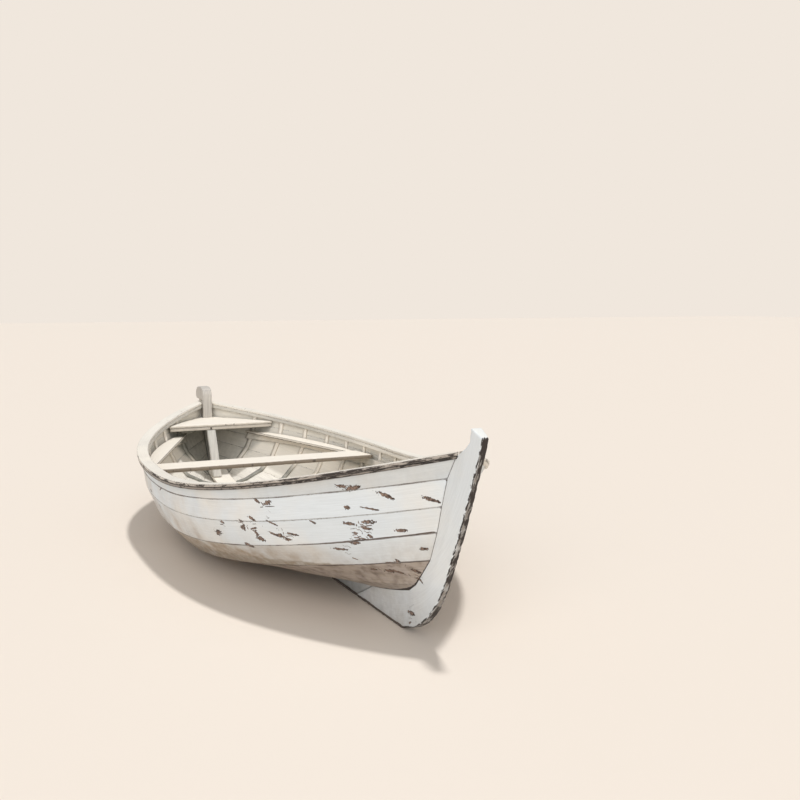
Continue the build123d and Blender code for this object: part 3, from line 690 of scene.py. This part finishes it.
# Putty in the seams, laid a little below the planks' faces, outside and inside.
puttyLook = {
    "deep": 0.0010,
    "cell": 0.015,
    "thick": 0.002,
    "darkness": (0.55, 0.20, 0.60, 0.85, 0.55),   # from the sheer down: 0 is fresh and pale, 1 is gone brown
}


def puttyStrip(upper, lower, upperBack, deep):
    # a thin strip from the upper plank's lower corner to the nearest place on the plank below
    count = max(20, int(np.linalg.norm(np.diff(upper, axis=0), axis=1).sum() / puttyLook["cell"]))
    a, back = resampled(upper, count), resampled(upperBack, count)
    dense = resampled(lower, count * 4)
    tree = kdtree.KDTree(len(dense))
    for i, point in enumerate(dense):
        tree.insert(point, i)
    tree.balance()
    b = dense[[tree.find(Vector(p))[1] for p in a]]
    inward = back - a
    inward /= np.linalg.norm(inward, axis=1, keepdims=True)
    deeper = deep + puttyLook["thick"]
    rings = np.stack([a + inward * deep, b + inward * deep, b + inward * deeper, a + inward * deeper], 1)
    return rings[2:-2]


def makePutty(number, side):
    above, below = (lineStore[f"{strakeNames[k]}_strake_{side}"] for k in (number, number + 1))
    name = f"seamPutty.{strakeNames[number]}.{side}"
    outer = puttyStrip(above[1], below[0], above[2], puttyLook["deep"])
    inner = puttyStrip(above[2], below[3], above[1], puttyLook["deep"] / 4)
    bm = bmesh.new()
    for rings in (outer, inner):
        strip = boardMesh(name + ".strip", rings)
        bm.from_mesh(strip)
        bpy.data.meshes.remove(strip)
    mesh = bpy.data.meshes.new(name)
    bm.to_mesh(mesh)
    bm.free()
    points = np.concatenate([outer.reshape(-1, 3), inner.reshape(-1, 3)])
    isOuter = np.arange(len(points)) < outer.size // 3
    none = np.zeros(len(points))
    forward = 0.5 * between(points[:, 0], 1.35, 1.7) if number == 2 else 0.0
    patchy = 1 + 1.2 * unevenness(points, 0.13, number + 0.5)
    dark = np.clip((puttyLook["darkness"][number] + forward) * patchy, 0, 1)
    writeAttributes(mesh, {
        "board": np.stack([points[:, 0], none, none + number], -1),
        "edge": none + 0.02,
        "seam": none,
        "inboard": np.where(isOuter, 0.0, 1.0),
        "grime": none,
        # inside, the putty takes the painted shade under the seats and the thwart's ends
        "stainAndShade": np.where(isOuter, dark, 0.05 + paintedShadeUnderSeats(points)),
        "dampAndShade": np.where(isOuter, 0.0, paintedShadeUnderSeats(points) * 0.9),
        "mark": np.zeros((len(points), 3)),
    })
    finishPiece(mesh, name, f"{strakeNames[number]}_strake_{side}")
    mesh.materials.clear()
    mesh.materials.append(puttyPaint)


for side in sides:
    for number in range(len(strakeNames) - 1):
        makePutty(number, side)
print("seams puttied")


# Heavy timbers and seats, with rounded and worn arrises.
timberKinds = {
    # name: size of its cells in metres, direction of the grain
    "stem": {"cell": 0.0045, "grain": "curve"},
    "apron": {"cell": 0.007, "grain": "z"},
    "sternpost": {"cell": 0.0045, "grain": "z"},
    "keel": {"cell": 0.0065, "grain": "x"},
    "keel_shoe": {"cell": 0.006, "grain": "x"},
    "thwart": {"cell": 0.0055, "grain": "y"},
    "bow_thwart": {"cell": 0.008, "grain": "y"},
    "stern_seat": {"cell": 0.005, "grain": "y"},
    "seat_beam": {"cell": 0.005, "grain": "y"},
    "stanchion": {"cell": 0.004, "grain": "z"},
    "breasthook": {"cell": 0.006, "grain": "y"},
}


def edgeTree(nodeName):
    bm = welded(nodeName)
    points = []
    for edge in sharpEdges(bm):
        a, b = (v.co for v in edge.verts)
        cells = max(1, math.ceil((b - a).length / 0.004))
        points += [a.lerp(b, i / cells) for i in range(cells + 1)]
    bm.free()
    tree = kdtree.KDTree(len(points))
    for i, point in enumerate(points):
        tree.insert(point, i)
    tree.balance()
    return tree


def remeshed(nodeName, cell):
    bm = welded(nodeName)
    mesh = bpy.data.meshes.new(nodeName + ".rough")
    bm.to_mesh(mesh)
    bm.free()
    rough = bpy.data.objects.new(nodeName + ".rough", mesh)
    bpy.context.scene.collection.objects.link(rough)
    remesh = rough.modifiers.new("cells", "REMESH")
    remesh.mode = "VOXEL"
    remesh.voxel_size = cell
    smooth = rough.modifiers.new("paleNearPortBow", "SMOOTH")
    smooth.factor = 0.5
    smooth.iterations = 3
    result = bpy.data.meshes.new_from_object(rough.evaluated_get(bpy.context.evaluated_depsgraph_get()))
    bpy.data.objects.remove(rough)
    bpy.data.meshes.remove(mesh)
    return result


def makeTimber(nodeName):
    kind = timberKinds[nodeName]
    mesh = remeshed(nodeName, kind["cell"])
    mesh.name = nodeName + ".timber"
    count = len(mesh.vertices)
    points = np.empty(count * 3)
    mesh.vertices.foreach_get("co", points)
    points = points.reshape(-1, 3)
    normals = np.empty(count * 3)
    mesh.vertices.foreach_get("normal", normals)
    normals = normals.reshape(-1, 3)
    low, high = (np.array(corner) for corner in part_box(nodeName))
    tree = edgeTree(nodeName)
    edge = np.array([tree.find(Vector(p))[2] for p in points])
    seed = seedOf[nodeName]

    # worn hollows along the arrises
    roughly = unevenness(points, 0.03, seed)
    nicked = np.clip(roughly * 2.4 - 0.2, 0, 1) * np.exp(-(edge / 0.006) ** 2)
    points = np.clip(points - normals * (nicked * 0.003)[:, None], low, high)
    mesh.vertices.foreach_set("co", points.ravel())
    mesh.update()

    x, y, z = points.T
    if kind["grain"] == "curve":
        # the stem bends round a point abaft and above its forefoot
        centre = np.array([high[0] - 1.15, 1.35])
        turn = np.arctan2(z - centre[1], x - centre[0])
        along, across = turn * 1.1, np.hypot(x - centre[0], z - centre[1]) + 1.6 * y
    else:
        along = {"x": x, "y": y, "z": z}[kind["grain"]]
        across = {"x": z + y, "y": x, "z": x + y}[kind["grain"]]
    none = np.zeros(count)
    values = {
        "board": np.stack([along, across, none + seed], -1),
        "edge": edge,
        "seam": none + 0.45,
        "inboard": none,
        "grime": none,
        "stainAndShade": none,
        "dampAndShade": paintedShadeUnderSeats(points) * (0.45 if nodeName == "stanchion" else 0.9),
        "mark": np.zeros((count, 3)),
    }
    ny = np.abs(normals[:, 1])
    if nodeName == "stem":
        # tar and rot follow its fore face and eat back over the sides
        isFront = (ny < 0.45) & (normals[:, 0] > 0.75 * normals[:, 2] + 0.05) & (normals[:, 0] > -0.3)
        isFront &= (x > high[0] - 0.75) & (z < high[2] - 0.012)
        frontTree = kdtree.KDTree(int(isFront.sum()))
        for i, point in enumerate(points[isFront]):
            frontTree.insert((point[0], 0, point[2]), i)
        frontTree.balance()
        back = np.array([frontTree.find((px, 0, pz))[2] for px, pz in zip(x, z)])
        frontTar = 0.40 + 0.30 * between(y, -0.016, 0.020) + 0.08 * between(z, 0.85, 1.0)
        frontTar = frontTar + 0.35 * unevenness(points, 0.06, seed + 2)
        values["grime"] = np.where(isFront, frontTar, 0.60 * np.exp(-(back / 0.012) ** 2))
        values["stainAndShade"] = np.maximum(0.95 * isFront, 0.45 * between(z, 0.32, 0.0))
        values["seam"] = 0.25 * (back > 0.05) * between(z, 0.10, 0.14)
        values["inboard"] = between(normals[:, 2], 0.6, 0.9)
        values["mark"] = markField(points, flakes, ()) * (ny > 0.7)[:, None]
    if nodeName == "sternpost":
        # painted shade on the sternpost below the stern seat
        values["dampAndShade"] = none + 0.5 * (points[:, 2] < 0.5)
    if nodeName == "keel":
        values["grime"] = 0.62 * between(z, 0.028, 0.016)
        values["stainAndShade"] = 0.75 * between(z, 0.12, 0.0)
        values["dampAndShade"] = none + 0.36
        values["seam"] = 1.0 * between(z, 0.06, 0.08) * between(x, 1.25, 1.15)
    if nodeName == "stanchion":
        values["inboard"] = none + 1.0
    if nodeName in ("thwart", "bow_thwart", "stern_seat", "seat_beam"):
        # the fore faces are darker and browner: partly dirt, partly painted shade
        fore = np.clip((normals[:, 0] - 0.4) * 3, 0, 1)
        light = nodeName in ("stern_seat", "seat_beam")
        values["stainAndShade"] = fore * (0.35 if light else 2.4)
        values["grime"] = fore * (0.30 if light else 0.36)
        # painted shade on the undersides of the stern seat and its beam
        values["dampAndShade"] = 0.6 * (normals[:, 2] < -0.5) * light
        values["seam"] = 0.4 + 0.7 * fore
    writeAttributes(mesh, values)
    finishPiece(mesh, nodeName + ".timber", nodeName)


for nodeName in timberKinds:
    makeTimber(nodeName)
print("timbers shaped:", len(timberKinds))


# Ribs: steamed strips with eased arrises.
def makeRibs(nodeName):
    bm = welded(nodeName)
    bmesh.ops.bevel(bm, geom=sharpEdges(bm), offset=0.002, segments=2, affect="EDGES")
    mesh = bpy.data.meshes.new(nodeName + ".strips")
    bm.to_mesh(mesh)
    bm.free()
    count = len(mesh.vertices)
    points = np.empty(count * 3)
    mesh.vertices.foreach_get("co", points)
    points = points.reshape(-1, 3)
    none = np.zeros(count)
    # the ribs are darker at their feet abaft x = -1.3, and take the painted shade under the seats
    darkFootAft = 0.75 * between(points[:, 2], 0.29, 0.23) * (points[:, 0] < -1.3)
    writeAttributes(mesh, {
        "board": np.stack([points[:, 1] + points[:, 2], points[:, 0], none + seedOf[nodeName]], -1),
        "edge": none + 0.02,
        "seam": none,
        "inboard": none,
        "grime": none,
        "stainAndShade": none,
        "dampAndShade": np.maximum(paintedShadeUnderSeats(points), darkFootAft),
        "mark": np.zeros((count, 3)),
    })
    finishPiece(mesh, nodeName + ".strips", nodeName)


for side in sides:
    makeRibs("ribs_" + side)
print("ribs eased")


# Camera, floor and light.
viewer = {
    "place": (5.9675, -2.006, 1.600),   # a standing person's eye, off the starboard bow
    "tilt": 84.12,
    "heading": 65.26,
    "lens": 45,
    "sensor": 36,
}
camera = bpy.data.objects.new("camera", bpy.data.cameras.new("camera"))
camera.location = viewer["place"]
camera.rotation_euler = (math.radians(viewer["tilt"]), 0, math.radians(viewer["heading"]))
camera.data.lens = viewer["lens"]
camera.data.sensor_width = viewer["sensor"]
bpy.context.scene.collection.objects.link(camera)
bpy.context.scene.camera = camera

floorMesh = bpy.data.meshes.new("studioFloor")
floorMesh.from_pydata([(-60, -60, 0), (60, -60, 0), (60, 60, 0), (-60, 60, 0)], [], [(0, 1, 2, 3)])
floor = bpy.data.objects.new("studioFloor", floorMesh)
bpy.context.scene.collection.objects.link(floor)
floorPaint = bpy.data.materials.new("studioFloorPaint")
floorPaint.use_nodes = True
floorPaint.node_tree.nodes["Principled BSDF"].inputs["Base Color"].default_value = linear("#E6DBCF")
floorPaint.node_tree.nodes["Principled BSDF"].inputs["Roughness"].default_value = 0.9
floorMesh.materials.append(floorPaint)

world = bpy.data.worlds.new("studio")
bpy.context.scene.world = world
world.use_nodes = True
sky = world.node_tree.nodes["Background"]
sky.inputs["Color"].default_value = (1, 1, 1, 1)
sky.inputs["Strength"].default_value = 0.43
seen = addNode(world.node_tree, "LightPath", {}, {}).outputs["Is Camera Ray"]
backdrop = addNode(world.node_tree, "Background", {},
                   {"Color": linear("#F0E7DD"), "Strength": 1.0}).outputs[0]
mixed = addNode(world.node_tree, "MixShader", {}, {0: seen, 1: sky.outputs[0], 2: backdrop}).outputs[0]
world.node_tree.links.new(mixed, world.node_tree.nodes["World Output"].inputs["Surface"])

lamps = {
    # name: strength, softness in degrees, tilt, heading
    "key": (1.85, 4, 11, 125),
    "fill": (1.42, 60, 69, 60),
}
for name, (energy, soft, tilt, heading) in lamps.items():
    lamp = bpy.data.objects.new(name, bpy.data.lights.new(name, "SUN"))
    lamp.data.energy = energy
    lamp.data.angle = math.radians(soft)
    lamp.rotation_euler = (math.radians(tilt), 0, math.radians(heading))
    bpy.context.scene.collection.objects.link(lamp)
bpy.context.scene.view_settings.view_transform = "Standard"

triangles = sum(len(p.vertices) - 2 for o in bpy.data.objects if o.type == "MESH" for p in o.data.polygons)
print("triangles:", triangles)
